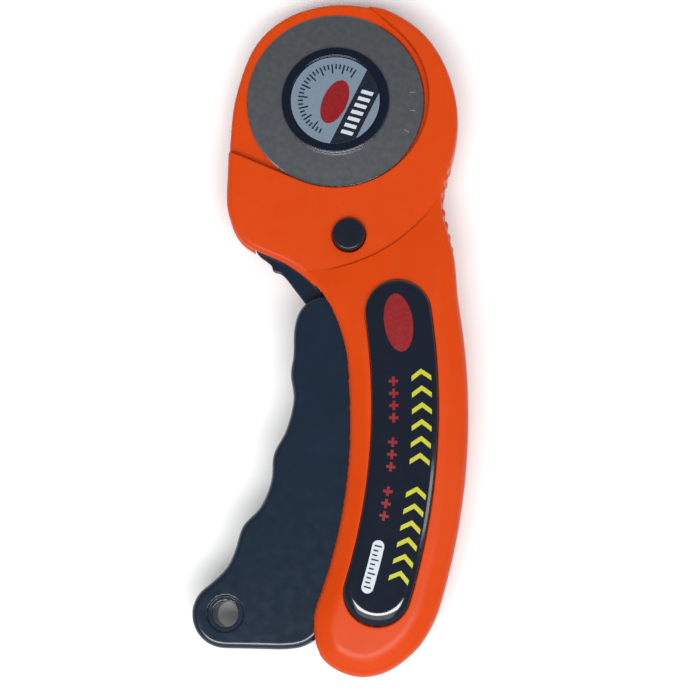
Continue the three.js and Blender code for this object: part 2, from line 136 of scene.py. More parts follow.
# ---------------------------------------------------------------- camera

TARGET = Vector((4.4, -4.1, 10.0)) * MM
AWAY = Vector((19.0, -65.0, 444.9)) * MM
back = AWAY.normalized()
right = Vector((0, 1, 0)).cross(back).normalized()
camera = bpy.data.objects.new("camera", bpy.data.cameras.new("camera"))
camera.data.lens = 92.5
camera.data.sensor_width = 36
camera.data.clip_start = 0.01
turn = Matrix((right, back.cross(right), back)).transposed().to_4x4()
camera.matrix_world = Matrix.Translation(TARGET + AWAY) @ turn
bpy.context.scene.collection.objects.link(camera)
bpy.context.scene.camera = camera

# ---------------------------------------------------------------- plan curves


def smooth(points, steps=12):
    """A curve through the points, as dense points."""
    p = np.asarray(points, float)
    p = np.vstack([p[:1], p, p[-1:]])
    a, b, c, d = p[:-3], p[1:-2], p[2:-1], p[3:]
    t = np.linspace(0, 1, steps, endpoint=False)[:, None, None]
    square, cube = 2 * a - 5 * b + 4 * c - d, 3 * b - 3 * c + d - a
    curve = (2 * b + (c - a) * t + square * t**2 + cube * t**3) / 2
    return np.vstack([curve.transpose(1, 0, 2).reshape(-1, 2), p[-1:]])


def arc(x, y, radius, start, end, steps=24):
    a = np.linspace(start, end, steps)
    return np.c_[x + radius * np.cos(a), y + radius * np.sin(a)]


def polar(circle, angle, offset=0.0):
    """The point at that angle on the circle, or offset outside it."""
    radius = circle[2] + offset
    return (circle[0] + radius * math.cos(angle), circle[1] + radius * math.sin(angle))


def arc_between(circle, a, b, steps=40):
    """The circle's arc from beside point a to beside point b."""
    x, y, radius = circle
    return arc(x, y, radius, math.atan2(a[1] - y, a[0] - x), math.atan2(b[1] - y, b[0] - x), steps)


def even(points, spacing=0.45):
    """The closed outline with its points evenly spaced."""
    p = np.vstack([points, points[:1]])
    along = np.r_[0, np.cumsum(np.hypot(*np.diff(p, axis=0).T))]
    at = np.linspace(0, along[-1], int(along[-1] / spacing), endpoint=False)
    return np.c_[np.interp(at, along, p[:, 0]), np.interp(at, along, p[:, 1])]


def fair(points, reach):
    """Takes out waves shorter than a few times reach from a closed outline, and keeps its size."""
    p = even(points)
    spacing = np.hypot(*(p[1] - p[0]))
    wave = 2 * math.pi * np.fft.fftfreq(len(p), spacing)
    low_pass = np.exp(-((wave * reach) ** 2) / 2)
    z = np.fft.ifft(np.fft.fft(p[:, 0] + 1j * p[:, 1]) * low_pass * (2 - low_pass))
    return np.c_[z.real, z.imag]


def shell_outline():
    head = [
        (29.4, -15.6), (30.6, -8.7), (30.6, -2.5), (29.4, 3.7), (27, 10), (23.1, 16.1), (17.4, 21),
        (10.1, 24.4), (2.3, 25.7), (-5.4, 25), (-12.8, 22.3), (-19.2, 17), (-22.7, 10.7), (-24.7, 4.4),
        (-26.1, -1.9), (-26.8, -11.9),
    ]
    lobe = [
        (-27.1, -21.2), (-27.1, -27.5), (-25.2, -33.8), (-22.4, -37.3), (-16.4, -40.3), (-10.4, -43.1),
        (-3.9, -49), (-0.2, -55.1), (1.9, -61), (3.1, -67),
    ]
    end = [(-5.2, -131.8), (-4, -137), (-1.4, -140.3), (5.6, -143.2), (13.4, -141.6), (20.6, -135.9)]
    neck = [
        (29.7, -41.5), (28.4, -36), (27.6, -33), (26.8, -30), (26.5, -27), (26.8, -23.4), (27.6, -20.5),
        (28.8, -16.8),
    ]
    inner = arc_between(INNER, (3.5, -71.5), (-4.6, -128))
    outer = arc_between(OUTER, (24.4, -129.5), (30.9, -52.1))
    return fair(np.vstack([smooth(head + lobe), inner, smooth(end), outer, smooth(neck)]), 2.8)


def grip_outline():
    fingers = [
        (-6.1, -51), (-8.8, -54), (-10.1, -58.5), (-10.3, -65), (-10.9, -69.9), (-10.2, -76), (-12, -83.5),
        (-15, -89.5), (-15.6, -96), (-18.1, -102.2), (-22.4, -107), (-24.2, -112.5), (-26.1, -116.7),
        (-29.2, -120), (-32.4, -122.6),
    ]
    eye = arc(*EYE, EYE_R, math.radians(150), math.radians(270))
    foot = smooth([(-12.5, -136.7), (-7.6, -136), (-3.8, -133.4), (-2.2, -129.5)])
    hidden = arc_between((INNER[0], INNER[1], INNER[2] + 4.9), (0, -124), (7.5, -62))
    top = [(6.5, -55.5), (3, -50.2), (-1.5, -49.8)]
    return fair(np.vstack([smooth(fingers), eye, foot, hidden, top]), 1.2)


def neck_outline():
    edge = [
        (-20.9, -33), (-19.8, -38.7), (-16.3, -41.9), (-15.6, -43.6), (-14, -44.1), (-12.5, -45.3),
        (-10.2, -48.3), (-7.3, -52.2),
    ]
    eye = arc(*PIVOT, 4.6, math.radians(20), math.radians(190))
    hidden = [(-6, -56), (4, -56), (3, -46), (-3, -39), (-10, -33)]
    return fair(np.vstack([eye, smooth(edge), hidden]), 0.4)


def arm_outline():
    eye = arc(0, 0, 7, math.radians(-20), math.radians(200))
    foot = [(-20.2, -27), (-18, -38), (-8, -46), (2, -47), (9.6, -40.5), (10.2, -31)]
    return even(np.vstack([eye, foot]))


NECK_ROOM_OUTLINE = [
    (-21.4, -25), (-21.3, -33), (-20.8, -36), (-20.1, -38.7), (-20.1, -60), (22, -60), (22, -46),
    (12, -38.5), (-2, -33.5), (-9.5, -25), (-15.4, -22.8), (-19.5, -23.2),
]

# ---------------------------------------------------------------- distance fields


class Plan:
    """Distance in plan to a closed outline, below zero inside it, read smoothly from a grid."""

    def __init__(self, outline, pitch=0.5, margin=4.0):
        start = np.asarray(outline, float)
        edge = np.roll(start, -1, axis=0) - start
        self.pitch = pitch
        self.low = start.min(0) - margin
        self.count = np.ceil((start.max(0) + margin - self.low) / pitch).astype(int) + 1
        lines = [low + pitch * np.arange(n) for low, n in zip(self.low, self.count)]
        x, y = np.meshgrid(*lines, indexing="ij")
        points = np.c_[x.ravel(), y.ravel()]
        rows = 3000
        found = [self.measure(points[i : i + rows], start, edge) for i in range(0, len(points), rows)]
        self.grid = np.concatenate(found).reshape(x.shape)

    @staticmethod
    def measure(points, start, edge):
        away = points[:, None] - start
        share = np.clip((away * edge).sum(2) / (edge**2).sum(1), 0, 1)
        near = np.sqrt(((away - share[..., None] * edge) ** 2).sum(2).min(1))
        end = start + edge
        crosses = (start[:, 1] > points[:, 1:]) != (end[:, 1] > points[:, 1:])
        rise = np.where(edge[:, 1] == 0, 1e-9, edge[:, 1])
        at = start[:, 0] + edge[:, 0] * away[..., 1] / rise
        inside = (crosses & (points[:, :1] < at)).sum(1) % 2
        return np.where(inside, -near, near)

    @staticmethod
    def weights(f):
        return [
            (-f + 2 * f**2 - f**3) / 2,
            (2 - 5 * f**2 + 3 * f**3) / 2,
            (f + 4 * f**2 - 3 * f**3) / 2,
            (f**3 - f**2) / 2,
        ]

    def __call__(self, x, y):
        u = np.clip((x - self.low[0]) / self.pitch, 1, self.count[0] - 3)
        v = np.clip((y - self.low[1]) / self.pitch, 1, self.count[1] - 3)
        i, j = u.astype(int), v.astype(int)
        across, up = self.weights(u - i), self.weights(v - j)
        total = 0
        for a in range(4):
            for b in range(4):
                total = total + across[a] * up[b] * self.grid[i + a - 1, j + b - 1]
        return total


def both(a, b, r=0.0):
    """What is inside a and inside b, with the edge between them rounded to radius r."""
    return np.minimum(np.maximum(a, b), -r) + np.hypot(np.maximum(a + r, 0), np.maximum(b + r, 0))


def either(a, b, r=0.0):
    """a joined to b, with a fillet of radius r between them."""
    return -both(-a, -b, r)


def without(a, b, r=0.0):
    return both(a, -b, r)


def disc(x, y, centre, radius):
    return np.hypot(x - centre[0], y - centre[1]) - radius


def band(x, y, circle, half, start, end):
    """A band along an arc of the circle, with round ends."""
    cx, cy, radius = circle
    a = np.clip(np.arctan2(y - cy, x - cx), start, end)
    return np.hypot(x - cx - radius * np.cos(a), y - cy - radius * np.sin(a)) - half


def swept(x, y, centre, half, back_turn=0.0, on_turn=0.0):
    """A disc of radius half about centre, carried round the pivot."""
    dx, dy = centre[0] - PIVOT[0], centre[1] - PIVOT[1]
    a = math.atan2(dy, dx)
    return band(x, y, (*PIVOT, math.hypot(dx, dy)), half, a - back_turn, a + on_turn)


def level_rod(x, y, z, start, angle, radius, length):
    """A rod that lies at the parting plane's level."""
    along = (x - start[0]) * math.cos(angle) + (y - start[1]) * math.sin(angle)
    across = (y - start[1]) * math.cos(angle) - (x - start[0]) * math.sin(angle)
    return both(np.hypot(across, z - Z_PART) - radius, np.abs(along - length / 2) - length / 2, 0.3)


def bend(t, width):
    """A ramp that starts at 0 with a soft bend of that width."""
    return np.where(t > width / 2, t, np.clip(t + width / 2, 0, width) ** 2 / (2 * width))


def step(t):
    t = np.clip(t, 0, 1)
    return t * t * (3 - 2 * t)


# ---------------------------------------------------------------- meshes


def crossings(value, axis):
    """Grid edges along one axis that the surface crosses: their place, share and direction."""
    first, second = [slice(None)] * 3, [slice(None)] * 3
    first[axis], second[axis] = slice(None, -1), slice(1, None)
    a, b = value[tuple(first)], value[tuple(second)]
    place = np.argwhere((a < 0) != (b < 0))
    a, b = a[tuple(place.T)], b[tuple(place.T)]
    return place, a / (a - b), a < 0


def net(field, low, high, pitch):
    """Vertices and quads of the field's surface, one vertex in each cell that it passes through."""
    lines = [np.arange(a - 1.5 * pitch, b + 2 * pitch, pitch) for a, b in zip(low, high)]
    value = np.broadcast_to(field(*np.ix_(*lines)), [len(line) for line in lines])
    cells = np.array(value.shape)
    total = np.zeros((cells.prod(), 3))
    count = np.zeros(cells.prod())
    rings = []
    for axis in range(3):
        place, share, outwards = crossings(value, axis)
        point = place.astype(float)
        point[:, axis] += share
        corners = []
        for db, dc in ((-1, -1), (0, -1), (0, 0), (-1, 0)):
            cell = place.copy()
            cell[:, (axis + 1) % 3] += db
            cell[:, (axis + 2) % 3] += dc
            corners.append(np.ravel_multi_index(cell.T, cells))
            count += np.bincount(corners[-1], minlength=len(count))
            for k in range(3):
                total[:, k] += np.bincount(corners[-1], point[:, k], minlength=len(count))
        ring = np.stack(corners, axis=1)
        rings.append(np.where(outwards[:, None], ring, ring[:, ::-1]))
    used = np.flatnonzero(count)
    number = np.zeros(len(count), int)
    number[used] = np.arange(len(used))
    start = np.array([line[0] for line in lines])
    return start + pitch * total[used] / count[used, None], number[np.vstack(rings)]


def slope_of(field, points, h=0.02):
    """The field's gradient, which is also the surface's normal."""
    rises = [field(*(points + h * axis).T) - field(*(points - h * axis).T) for axis in np.eye(3)]
    return np.stack(rises, axis=1) / (2 * h)


def settle(field, points, pitch, rounds):
    """Moves points onto the field's surface."""
    p = points.copy()
    for _ in range(rounds):
        value = field(*p.T)
        slope = slope_of(field, p)
        move = -value[:, None] * slope / np.maximum((slope**2).sum(1), 0.2)[:, None]
        length = np.hypot(np.hypot(move[:, 0], move[:, 1]), move[:, 2])
        p += move * np.minimum(1, 0.4 * pitch / np.maximum(length, 1e-9))[:, None]
    return p


def mesh_of(name, points, faces):
    mesh = bpy.data.meshes.new(name)
    mesh.from_pydata(points, [], faces)
    mesh.validate()
    return mesh


def settle_in(obj, centre=(0.0, 0.0)):
    """Turns an object made in millimetres about centre into the frame's metres."""
    obj.data.transform(Matrix.Diagonal((MM, MM, MM, 1)))
    obj.location = Vector(AXIS) + Vector((*centre, 0)) * MM
    return obj


def with_modifiers(obj):
    """Applies the object's modifiers to its mesh."""
    bpy.context.view_layer.update()
    made = bpy.data.meshes.new_from_object(obj.evaluated_get(bpy.context.evaluated_depsgraph_get()))
    obj.modifiers.clear()
    obj.data = made
    return obj


def shade(obj, sharp=50):
    """Smooth shading in which large faces stay flat, and edges turn sharp past an angle."""
    obj.data.polygons.foreach_set("use_smooth", [True] * len(obj.data.polygons))
    obj.data.set_sharp_from_angle(angle=math.radians(sharp))
    obj.modifiers.new("weights", "WEIGHTED_NORMAL").keep_sharp = True
    return with_modifiers(obj)


def show(name, mesh, *materials):
    obj = bpy.data.objects.new(name, mesh)
    bpy.context.scene.collection.objects.link(obj)
    for material in materials:
        obj.data.materials.append(material)
    return obj


def cast(name, field, low, high, pitch, keep, *materials):
    """A moulded piece from its distance field, thinned out where it is flat."""
    points, faces = net(field, low, high, pitch)
    points = settle(field, points, pitch, 1)
    obj = show(name, mesh_of(name, points.tolist(), faces.tolist()), *materials)
    if keep < 1:
        obj.modifiers.new("thin", "DECIMATE").ratio = keep
        with_modifiers(obj)
    co = np.empty(3 * len(obj.data.vertices))
    obj.data.vertices.foreach_get("co", co)
    points = settle(field, co.reshape(-1, 3), pitch, 2)
    obj.data.vertices.foreach_set("co", points.ravel())
    normals = slope_of(field, points)
    normals /= np.maximum(np.linalg.norm(normals, axis=1), 1e-6)[:, None]
    obj.data.polygons.foreach_set("use_smooth", [True] * len(obj.data.polygons))
    obj.data.normals_split_custom_set_from_vertices(normals.tolist())
    return obj


def eased(profile, radius, closed):
    """A profile with its corners rounded."""
    p = np.asarray(profile, float)
    out = []
    for i, corner in enumerate(p):
        if not closed and i in (0, len(p) - 1):
            out.append(corner)
            continue
        before, after = p[i - 1] - corner, p[(i + 1) % len(p)] - corner
        reach = [min(radius, 0.45 * np.hypot(*side)) for side in (before, after)]
        a = corner + before / np.hypot(*before) * reach[0]
        b = corner + after / np.hypot(*after) * reach[1]
        for t in np.linspace(0, 1, 5):
            out.append((1 - t) ** 2 * a + 2 * t * (1 - t) * corner + t * t * b)
    return np.array(out)


def turned(name, profile, radius, steps, *materials):
    """A piece turned about z. Its profile is (radius, level), from axis to axis or closed."""
    closed = profile[0][0] > 0
    p = eased(profile, radius, closed)
    a = np.linspace(0, 2 * math.pi, steps, endpoint=False)
    points, rows = [], []
    for r, z in p:
        if r < 1e-6:
            rows.append([len(points)] * steps)
            points.append((0.0, 0.0, z))
        else:
            rows.append(list(range(len(points), len(points) + steps)))
            points.extend(zip(r * np.cos(a), r * np.sin(a), [z] * steps))
    faces = []
    following = rows[1:] + rows[:1] if closed else rows[1:]
    for first, second in zip(rows, following):
        for i in range(steps):
            j = (i + 1) % steps
            ring = [first[i], first[j], second[j], second[i]]
            faces.append([v for k, v in enumerate(ring) if v != ring[k - 1]])
    return show(name, mesh_of(name, points, faces), *materials)


def prism(outlines, low, high):
    """Vertices and faces of flat shapes with straight sides."""
    points, faces = [], []
    for outline in outlines:
        n, first = len(outline), len(points)
        for z in (low, high):
            points.extend((x, y, z) for x, y in outline)
        faces.append([first + n + i for i in range(n)])
        faces.append([first + i for i in reversed(range(n))])
        for i in range(n):
            j = (i + 1) % n
            faces.append([first + i, first + j, first + n + j, first + n + i])
    return points, faces


def tube(name, path, radius, sides, *materials):
    """A round wire along a path, with flat ends."""
    path = np.asarray(path)
    along = np.gradient(path, axis=0)
    along /= np.linalg.norm(along, axis=1)[:, None]
    across = np.cross(along, (0, 0, 1.0))
    across /= np.linalg.norm(across, axis=1)[:, None]
    other = np.cross(along, across)
    a = np.linspace(0, 2 * math.pi, sides, endpoint=False)
    ring = np.cos(a)[None, :, None] * across[:, None] + np.sin(a)[None, :, None] * other[:, None]
    points = (path[:, None] + radius * ring).reshape(-1, 3)
    faces = []
    for i in range(0, (len(path) - 1) * sides, sides):
        for k in range(sides):
            j = (k + 1) % sides
            faces.append([i + k, i + j, i + sides + j, i + sides + k])
    last = (len(path) - 1) * sides
    faces += [list(range(sides))[::-1], list(range(last, last + sides))]
    return show(name, mesh_of(name, points.tolist(), faces), *materials)


# ---------------------------------------------------------------- materials


def linear(r, g, b):
    """An sRGB colour out of 255 as Blender's linear one."""
    shares = [v / 255 for v in (r, g, b)]
    return [s / 12.92 if s <= 0.04045 else ((s + 0.055) / 1.055) ** 2.4 for s in shares] + [1.0]


class Finish:
    """A Principled material whose colour, roughness and bump come from procedural noise."""

    def __init__(self, name):
        self.material = bpy.data.materials.new(name)
        self.material.use_nodes = True
        self.tree = self.material.node_tree
        self.shader = self.tree.nodes["Principled BSDF"]
        self.place = self.add("ShaderNodeTexCoord").outputs["Object"]
        self.bump_input = None

    def add(self, kind, **values):
        node = self.tree.nodes.new(kind)
        for key, value in values.items():
            if key in node.inputs:
                node.inputs[key].default_value = value
            else:
                setattr(node, key, value)
        return node

    def link(self, a, b):
        self.tree.links.new(a, b)
        return b

    def noise(self, size, detail=3.0, stretch=(1, 1, 1), turn=0.0):
        """Noise with features of that size in millimetres."""
        mapping = self.add("ShaderNodeMapping")
        mapping.inputs["Scale"].default_value = stretch
        mapping.inputs["Rotation"].default_value = (0, 0, turn)
        self.link(self.place, mapping.inputs["Vector"])
        node = self.add("ShaderNodeTexNoise", Scale=1 / (size * MM), Detail=detail)
        self.link(mapping.outputs["Vector"], node.inputs["Vector"])
        return node.outputs["Fac"]

    def spread(self, value, low, high, start=0.3, end=0.7):
        """Maps noise onto a range of numbers."""
        node = self.add("ShaderNodeMapRange")
        for key, number in (("From Min", start), ("From Max", end), ("To Min", low), ("To Max", high)):
            node.inputs[key].default_value = number
        self.link(value, node.inputs["Value"])
        return node.outputs["Result"]

    def colour(self, one, other, value, start=0.35, end=0.65):
        node = self.add("ShaderNodeMix", data_type="RGBA")
        node.inputs["A"].default_value = one
        node.inputs["B"].default_value = other
        self.link(self.spread(value, 0, 1, start, end), node.inputs["Factor"])
        self.link(node.outputs["Result"], self.shader.inputs["Base Color"])
        return self

    def roughness(self, low, high, value):
        self.link(self.spread(value, low, high), self.shader.inputs["Roughness"])
        return self

    def bump(self, value, depth):
        """Adds a bump of that depth in millimetres, on top of any earlier one."""
        node = self.add("ShaderNodeBump", Strength=1.0, Distance=depth * MM)
        self.link(value, node.inputs["Height"])
        if self.bump_input:
            self.link(self.bump_input, node.inputs["Normal"])
        self.bump_input = node.outputs["Normal"]
        return self

    def done(self, **sockets):
        for key, value in sockets.items():
            self.shader.inputs[key.replace("_", " ")].default_value = value
        if self.bump_input:
            self.link(self.bump_input, self.shader.inputs["Normal"])
        return self.material


def tint(rgb, factor):
    return [min(c * factor, 1.0) for c in rgb[:3]] + [1.0]


def moulded(name, rgb, rough, index):
    """Gloss-moulded plastic: slight flow marks in its colour, and a very fine grain."""
    f = Finish(name)
    flow = f.noise(14, 2)
    f.colour(tint(rgb, 0.98), tint(rgb, 1.02), flow)
    f.roughness(rough - 0.04, rough + 0.05, f.noise(3, 4))
    f.bump(f.noise(0.35, 2), 0.006)
    return f.done(IOR=index)


def handled(name, rgb, rough, index):
    """Black gloss plastic with the hairline scratches of use."""
    f = Finish(name)
    f.colour(tint(rgb, 0.95), tint(rgb, 1.06), f.noise(9, 3))
    f.roughness(rough, rough + 0.06, f.noise(2.5, 5))
    for turn in (0.5, 1.9):
        hair = f.noise(0.4, 2, stretch=(0.04, 1, 1), turn=turn)
        f.bump(f.spread(hair, 0, 1, 0.7, 0.74), 0.0015)
    f.bump(f.noise(0.5, 2), 0.003)
    return f.done(IOR=index)


def ink(name, rgb, rough=0.35):
    """Printed film."""
    f = Finish(name)
    f.colour(tint(rgb, 0.97), tint(rgb, 1.03), f.noise(0.6, 3))
    f.roughness(rough - 0.05, rough + 0.08, f.noise(0.8, 3))
    f.bump(f.noise(0.25, 2), 0.004)
    return f.done(IOR=1.46)


def steel(name, rgb, rough, size=0.4, depth=0.002):
    """Bare or plated metal, with a grain of that size and depth in millimetres."""
    f = Finish(name)
    f.colour(tint(rgb, 0.97), tint(rgb, 1.03), f.noise(size * 6, 4))
    f.roughness(rough - 0.015, rough + 0.02, f.noise(size * 3, 4))
    f.bump(f.noise(size, 3), depth)
    return f.done(Metallic=1.0)


ORANGE = moulded("handle_orange", [0.57, 0.049, 0.0005, 1], 0.37, 1.31)
INLAY_BLACK = handled("inlay_black", linear(14, 21, 36), 0.07, 1.75)
LEVER_BLACK = handled("lever_black", linear(21, 34, 49), 0.14, 1.52)
CAP_BLACK = moulded("cap_black", linear(12, 20, 36), 0.16, 1.48)
BUTTON_BLACK = moulded("button_black", linear(19, 25, 38), 0.25, 1.46)
RED = ink("print_red", linear(130, 14, 20))
YELLOW = ink("print_yellow", linear(180, 180, 38))
WHITE = ink("print_white", linear(191, 198, 205))
DARK = ink("print_dark", linear(16, 24, 38))
GREY = ink("label_grey", linear(112, 128, 143), 0.25)
BLADE_STEEL = steel("blade_steel", linear(164, 169, 174), 0.3, size=0.5, depth=0.0005)
GROUND_STEEL = steel("ground_steel", linear(165, 168, 170), 0.3, size=0.3, depth=0.001)
ZINC = steel("zinc_plate", linear(190, 192, 196), 0.3)
SPRING_STEEL = steel("spring_wire", linear(160, 163, 168), 0.3, size=0.2)
ETCHED = ink("etched_steel", linear(135, 138, 142))
BRASS = steel("brass", linear(190, 150, 82), 0.32)

# ---------------------------------------------------------------- handle shells

SHELL = Plan(shell_outline())
NECK_ROOM = Plan(even(np.array(NECK_ROOM_OUTLINE, float)))
RIB_SPINE = smooth([(27.7, -16.9), (26.1, -23.4), (25.8, -26.9), (26.9, -32.9), (28.1, -38.8)], steps=30)
RIB_COUNT = 8
SPRING_FROM, SPRING_ANGLE, SPRING_LENGTH = (9.5, -60.5), math.radians(40), 17.0
SPRING_DIRECTION = np.array([math.cos(SPRING_ANGLE), math.sin(SPRING_ANGLE)])
SPRING_END = np.array(SPRING_FROM) + SPRING_LENGTH * SPRING_DIRECTION
SCREWS = [
    (node, sum(span(node))[:2] / 2, span(node)[0][2], span(node)[1][2])
    for node in ("case_screw_1", "case_screw_2", "case_screw_3", "case_screw_4")
]


def past_crease(x, y):
    return disc(x, y, CREASE, CREASE[2])


def top_height(x, y, edge):
    """Half thickness: a thin head, a lip at the crease, and a thicker handle with a sloping shoulder."""
    past = past_crease(x, y)
    around = np.arctan2(y - CREASE[1], x - CREASE[0])
    lip = LIP * step((around - LIP_FROM) / 0.16) * step((LIP_TO - around) / 0.4)
    rise = 1 - (1 - np.clip(past / RISE, 0, 1)) ** 2
    height = HEAD_HALF + lip * step(past / 0.45) + (HANDLE_HALF - HEAD_HALF - lip) * rise
    slope = HEAD_SLOPE + (HANDLE_SLOPE - HEAD_SLOPE) * step(past / 30)
    return height - slope * bend(edge + SHOULDER, SHOULDER_BEND)


def ribs(x, y, h):
    gaps = np.r_[0, np.cumsum(np.hypot(*np.diff(RIB_SPINE, axis=0).T))]
    at = np.linspace(0, gaps[-1], RIB_COUNT)
    places = np.c_[np.interp(at, gaps, RIB_SPINE[:, 0]), np.interp(at, gaps, RIB_SPINE[:, 1])]
    rods = np.minimum.reduce([disc(x, y, (px, py), FINGER_RIB_R) for px, py in places])
    return both(rods, h - RIB_REACH, 0.5)


def form(x, y, h, down, rounding):
    """Outer form of a shell, h above or below the parting plane, with walls that lean in under the lobe."""
    near_lobe = step(1.5 - disc(x, y, LOBE, 0) / 9)
    edge = SHELL(x, y) + LEAN * near_lobe * np.maximum(down, 0)
    solid = both(edge, h - top_height(x, y, edge), rounding)
    return either(solid, ribs(x, y, h), 0.25)


def recess(x, y):
    """The blade's recess in plan: round on the palm's side, and open to the upper left."""
    dx, dy = x - RECESS[0], y - RECESS[1]
    middle, half = (RECESS_FROM + RECESS_TO) / 2, (RECESS_TO - RECESS_FROM) / 2
    turned_by = np.abs((np.arctan2(dy, dx) - middle + math.pi) % (2 * math.pi) - math.pi)
    return np.hypot(dx, dy) * np.cos(np.maximum(turned_by - half, 0)) - RECESS[2]


def hollow(x, y, h):
    """Room for the lever inside the shells, with the mouth that its grip comes out of."""
    edge = SHELL(x, y)
    arm = both(both(edge + WALL, h - ARM_ROOM_HALF), -40 - y)
    neck = both(NECK_ROOM(x, y), h - NECK_ROOM_HALF)
    inwards = INNER[2] + 5 + 1.8 * step((-118 - y) / 14)
    mouth = both(both(disc(x, y, INNER, inwards), y - MOUTH_TOP), disc(x, y, PIVOT, MOUTH_REACH))
    roof = np.minimum(ROOF, top_height(x, y, edge) - 1.0)
    deep = both(both(either(edge + WALL, mouth), h - roof, 0.3), 2.2 - past_crease(x, y))
    return either(either(arm, neck), deep)


def inside_posts(x, y, z):
    """Screw bosses and the spring's seat."""
    posts = np.minimum.reduce([disc(x, y, place, 3.0) for _, place, _, _ in SCREWS])
    posts = both(posts, np.abs(z - Z_PART) - 8)
    seat = level_rod(x, y, z, SPRING_END + 0.4 * SPRING_DIRECTION, SPRING_ANGLE, SPRING_SEAT_R, 8)
    spigot = level_rod(x, y, z, SPRING_END - 2.6 * SPRING_DIRECTION, SPRING_ANGLE, 2, 4)
    return either(posts, either(seat, spigot))


def shell(x, y, z, outside):
    """A shell's outer form with everything cut from it that both shells share."""
    made = without(outside, hollow(x, y, np.abs(z - Z_PART)))
    made = either(made, both(inside_posts(x, y, z), outside + 0.6))
    made = without(made, disc(x, y, LOCK, LOCK_R + 0.15), 0.35)
    pocket = band(x, y, MIDDLE, INLAY_HALF + 0.12, INLAY_FROM, INLAY_TO)
    made = without(made, both(pocket, HANDLE_HALF - POCKET - np.abs(z - Z_PART)), 0.35)
    for _, place, low, high in SCREWS:
        thread_room = np.where(z < Z_PART, 1.5, 1.1)
        made = without(made, both(disc(x, y, place, thread_room), z - high - 0.1))
        made = without(made, both(disc(x, y, place, SCREW_HEAD_R + 0.3), z - low - SCREW_SINK), 0.2)
    return without(made, both(disc(x, y, PIVOT, PIVOT_R + 0.1), np.abs(z - Z_PART) - 5))


def front_shell(x, y, z):
    h = z - Z_PART
    ramp = FLOOR_HALF + np.maximum(RAMP * (x - 7), 20.2 - y)
    raised = both(form(x, y, h, HEAD_HALF - h, 1.6), (h - ramp) * 0.9, 0.5)
    raised = both(raised, -recess(x, y), 0.35)
    floor = both(SHELL(x, y), h - FLOOR_HALF, 1.1)
    made = shell(x, y, z, either(raised, floor, 0.35))
    made = without(made, both(swept(x, y, (0, 0), 4.4, on_turn=SQUEEZE), -h), 0.2)
    return both(made, Z_PART + SHELL_GAP - z, 0.2)


def back_shell(x, y, z):
    made = shell(x, y, z, form(x, y, Z_PART - z, HEAD_HALF + Z_PART - z, 2.3))
    made = without(made, both(swept(x, y, (0, 0), 12.2, on_turn=SQUEEZE), z - Z_NUT_SEAT), 0.5)
    made = without(made, both(swept(x, y, (0, 0), 3.6, on_turn=SQUEEZE), z - Z_PART), 0.2)
    return both(made, z - Z_PART + SHELL_GAP, 0.2)


# ---------------------------------------------------------------- lever and inlays

GRIP = Plan(grip_outline())
NECK = Plan(neck_outline())
ARM = Plan(arm_outline())


def lever(x, y, z):
    h = np.abs(z - Z_PART)
    made = both(GRIP(x, y), h - GRIP_HALF, 1.5)
    neck = NECK(x, y) + LEAN * (Z_PART + NECK_HALF - z)
    made = either(made, both(neck, h - NECK_HALF, 0.5), 0.4)
    made = either(made, both(ARM(x, y), h - ARM_HALF, 0.3), 0.4)
    towards = SPRING_ANGLE + math.pi
    start = np.array(SPRING_FROM)
    made = either(made, level_rod(x, y, z, start - 0.4 * SPRING_DIRECTION, towards, SPRING_SEAT_R, 7))
    made = either(made, level_rod(x, y, z, start + 2.6 * SPRING_DIRECTION, towards, 1.5, 4))
    window = swept(x, y, LOCK, SLOT_HALF, back_turn=SQUEEZE)
    cos, sin = math.cos(SQUEEZE), math.sin(SQUEEZE)
    dx, dy = LOCK[0] - PIVOT[0], LOCK[1] - PIVOT[1]
    squeezed = (PIVOT[0] + dx * cos + dy * sin, PIVOT[1] + dy * cos - dx * sin)
    for notch in (LOCK, squeezed):
        window = either(window, disc(x, y, notch, NOTCH_R), 0.2)
    made = without(made, window, 0.1)
    cap_room = both(swept(x, y, LOCK, LOCK_R + 0.4, back_turn=SQUEEZE), ARM_HALF - h)
    made = without(made, cap_room)
    made = without(made, both(np.hypot(x, y) - STUD_R - 0.15, np.abs(x) - 2.65), 0.1)
    made = without(made, disc(x, y, PIVOT, PIVOT_R + 0.15), 0.1)
    made = without(made, disc(x, y, EYE, EYE_HOLE), 0.25)
    return without(made, both(disc(x, y, EYE, EYE_RIM), GRIP_HALF - 0.5 - h), 0.2)


def inlay(x, y, z):
    """Front inlay: a plate with a bevel that is widest at the foot, and three pegs."""
    plate = band(x, y, MIDDLE, INLAY_HALF, INLAY_FROM, INLAY_TO)
    plate = both(plate, np.abs(z - 21.15) - 0.85, 0.1)
    top = band(x, y, (MIDDLE[0], MIDDLE[1], MIDDLE[2] - 0.25), 7.0, INLAY_FROM + 0.0088, INLAY_TO - 0.002)
    bevel = (top + (z - INLAY_TOP) * INLAY_SLOPE) / math.hypot(1, INLAY_SLOPE)
    plate = both(plate, both(bevel, z - INLAY_TOP, 0.7), 0.15)
    pegs = [disc(x, y, polar(MIDDLE, a), PEG_R) for a in PEG_ANGLES]
    return either(plate, both(np.minimum.reduce(pegs), np.abs(z - 19.5) - 1.2, 0.2))


def back_inlay(x, y, z):
    return inlay(x, y, 2 * Z_PART - z)


# ---------------------------------------------------------------- nut, bolt and screws


def thread(x, y, z, radius, pitch, depth):
    """A threaded rod about the axis."""
    wave = (z / pitch - np.arctan2(y, x) / (2 * math.pi)) % 1
    return np.hypot(x, y) - radius + depth * np.abs(2 * wave - 1)


